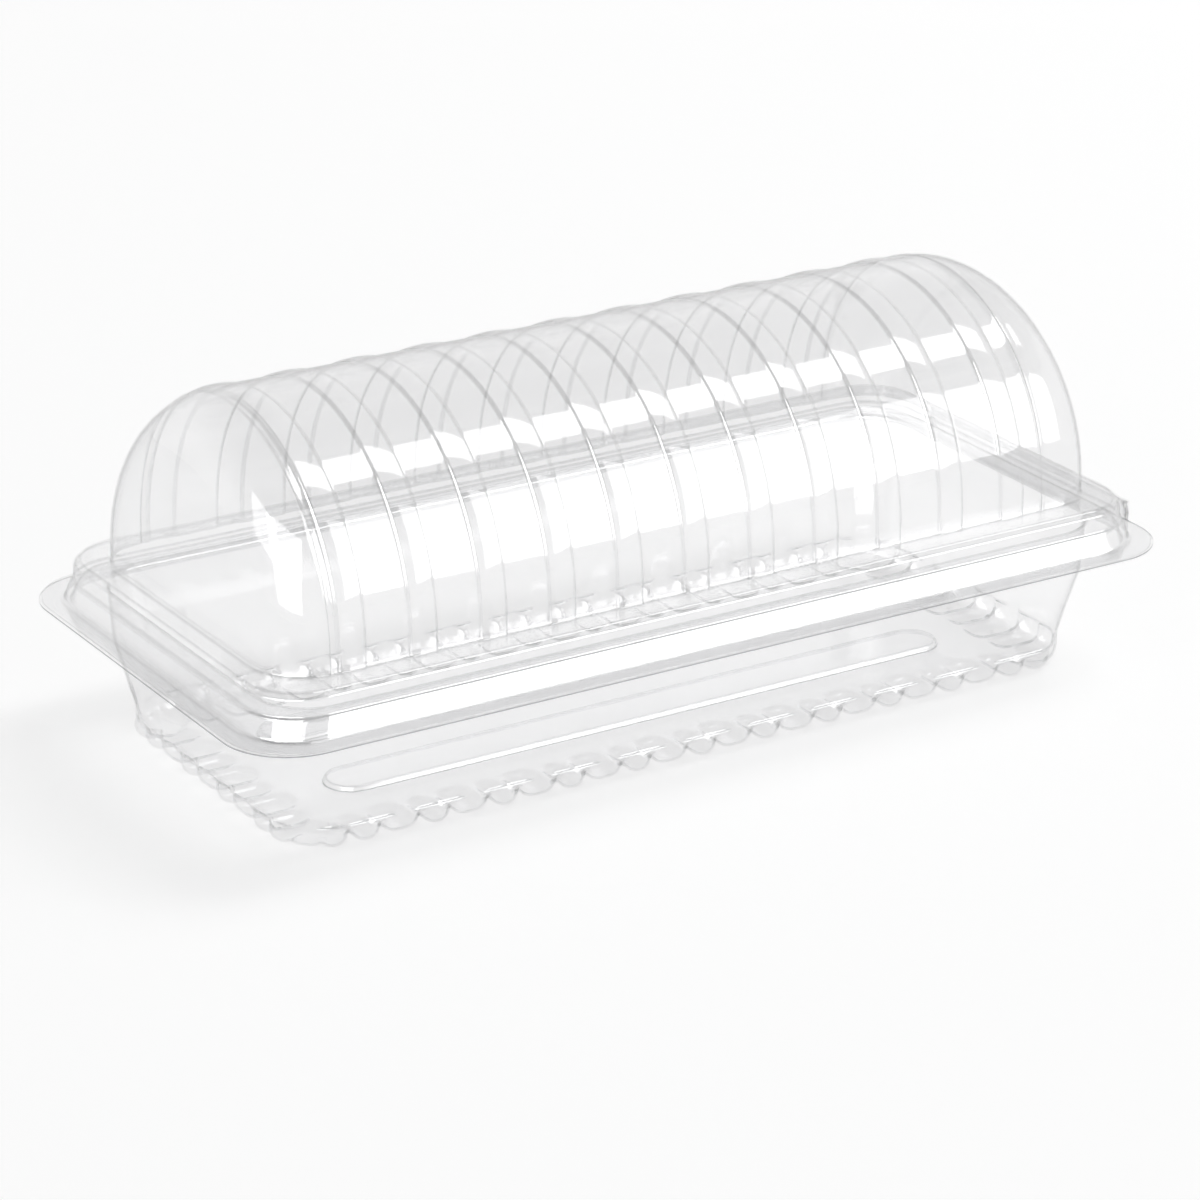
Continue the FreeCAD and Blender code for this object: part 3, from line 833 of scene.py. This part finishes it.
def floor_material():
    material = bpy.data.materials.new("pale_floor")
    material.use_nodes = True
    tree = material.node_tree
    tree.nodes.clear()
    output = node(tree, "ShaderNodeOutputMaterial")
    cover = node(tree, "ShaderNodeBsdfDiffuse")
    cover.inputs["Color"].default_value = (0.8, 0.8, 0.8, 1)
    glow = node(tree, "ShaderNodeEmission")
    strength = math_node(tree, "MULTIPLY", seen(tree), 0.525)
    tree.links.new(strength, glow.inputs["Strength"])
    both = node(tree, "ShaderNodeAddShader")
    tree.links.new(cover.outputs[0], both.inputs[0])
    tree.links.new(glow.outputs[0], both.inputs[1])
    tree.links.new(both.outputs[0], output.inputs["Surface"])
    return material


# Studio

def aim(thing, place, target=(0, 0, 0.04)):
    thing.location = place
    look = Vector(target) - Vector(place)
    thing.rotation_euler = look.to_track_quat("-Z", "Y").to_euler()


def panel(name, place, target, width, height, radiance, lights_floor=True):
    """A soft light panel that faces the pack, seen in its mirror images."""
    lamp = bpy.data.lights.new(name, "AREA")
    lamp.shape = "RECTANGLE"
    lamp.size = width
    lamp.size_y = height
    lamp.energy = radiance * math.pi * width * height
    thing = bpy.data.objects.new(name, lamp)
    bpy.context.scene.collection.objects.link(thing)
    aim(thing, place, target)
    thing.visible_diffuse = lights_floor
    return thing


def long_panel(name, low, high, left, right, distance, radiance, lights_floor=True):
    """A panel along X whose mirror image fills the barrel between two angles over the front."""
    middle = math.radians((low + high) / 2)
    height = 2 * distance * math.tan(math.radians((high - low) / 2))
    x = (left + right) / 2 * distance
    span = (right - left) * distance
    place = (x, -distance * math.cos(middle), distance * math.sin(middle))
    return panel(name, place, (x, 0, 0), span, height, radiance, lights_floor)


def studio():
    mesh = bpy.data.meshes.new("floor")
    half = 6.0
    mesh.from_pydata([(-half, -half, 0), (half, -half, 0), (half, half, 0), (-half, half, 0)],
                     [], [(0, 1, 2, 3)])
    mesh.materials.append(floor_material())
    floor = bpy.data.objects.new("floor", mesh)
    floor.location.z = -0.00004
    bpy.context.scene.collection.objects.link(floor)

    long_panel("top_panel", 71.0, 87.5, 0.15, 0.9, 4.5, 3.2)
    long_panel("front_panel", 7.0, 51.0, 0.40, 1.3, 4.5, 2.7, lights_floor=False)
    panel("corner_panel", (-3.2, -3.0, 2.3), (0, 0, 0), 4.4, 4.0, 2.8, lights_floor=False)
    panel("left_panel", (-4.2, -0.7, 2.9), (0, 0, 0), 2.6, 2.2, 2.4, lights_floor=False)
    key = panel("key_panel", (2.6, 0.0, 4.4), (0, 0, 0), 2.6, 2.6, 2.4)
    key.visible_glossy = False

    world = bpy.data.worlds.new("studio")
    bpy.context.scene.world = world
    world.use_nodes = True
    tree = world.node_tree
    tree.nodes.clear()
    output = node(tree, "ShaderNodeOutputWorld")
    direction = node(tree, "ShaderNodeSeparateXYZ")
    tree.links.new(node(tree, "ShaderNodeTexCoord").outputs["Generated"], direction.inputs[0])
    walls = node(tree, "ShaderNodeValToRGB")
    walls.color_ramp.elements[0].position = 0.36
    walls.color_ramp.elements[0].color = (1, 1, 1, 1)
    walls.color_ramp.elements[1].position = 0.8
    walls.color_ramp.elements[1].color = (0.18, 0.18, 0.185, 1)
    tree.links.new(direction.outputs["Z"], walls.inputs[0])
    plain = node(tree, "ShaderNodeBackground")
    plain.inputs["Color"].default_value = (0.27, 0.27, 0.27, 1)
    shown = node(tree, "ShaderNodeBackground")
    tree.links.new(walls.outputs[0], shown.inputs["Color"])
    mix = node(tree, "ShaderNodeMixShader")
    tree.links.new(seen(tree), mix.inputs[0])
    tree.links.new(plain.outputs[0], mix.inputs[1])
    tree.links.new(shown.outputs[0], mix.inputs[2])
    tree.links.new(mix.outputs[0], output.inputs["Surface"])


def camera():
    azimuth, elevation, roll = (math.radians(v) for v in (-32.11, 21.96, 0.27))
    target = Vector((-0.0018, 0, 0.02545))
    back = Vector((math.sin(azimuth) * math.cos(elevation),
                   -math.cos(azimuth) * math.cos(elevation), math.sin(elevation)))
    data = bpy.data.cameras.new("camera")
    data.sensor_width = 36
    data.lens = 4349.36 / 1200 * 36
    data.clip_end = 50
    thing = bpy.data.objects.new("camera", data)
    bpy.context.scene.collection.objects.link(thing)
    turn = (-back).to_track_quat("-Z", "Y").to_matrix() @ Matrix.Rotation(roll, 3, "Z")
    thing.matrix_world = Matrix.Translation(target + back * 1.07484) @ turn.to_4x4()
    bpy.context.scene.camera = thing


# Pieces

lid_clear = clear_plastic("clear_lid_plastic", (0.977, 0.977, 0.978))
tray_clear = clear_plastic("clear_tray_plastic", (0.988, 0.988, 0.989))
# Cut edges of the lower sheet carry painted shade: a darker grey tint and extra grey, so the edge
# shows as a dark line
cut_edge = clear_plastic("sheet_edge", (0.7, 0.7, 0.72), edge=0.6)

lid_sheet = upper_sheet([lid_clear, lid_clear])
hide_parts("lid")
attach(lid_sheet, "lid_body")

tray_sheet = lower_sheet([tray_clear, cut_edge])
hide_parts("base_tray")
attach(tray_sheet, "tray_body")

tray_leaf = strip("tray_hinge_leaf", leaf_outline(HINGE_X + SEAM, PARTING - WALL, FOLD_HEIGHT),
                  [tray_clear])
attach(tray_leaf, "tray_body")

lid_leaf = strip("lid_hinge_leaf", leaf_outline(HINGE_X - SEAM - WALL, PARTING + SEAM, FOLD_HEIGHT),
                 [lid_clear])
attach(lid_leaf, "lid_body")

fold = strip("hinge_fold", fold_outline(), [tray_clear])
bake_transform(fold)

studio()
camera()

scene = bpy.context.scene
scene.view_settings.view_transform = "Standard"
scene.cycles.max_bounces = 24
scene.cycles.glossy_bounces = 8
scene.cycles.transparent_max_bounces = 96
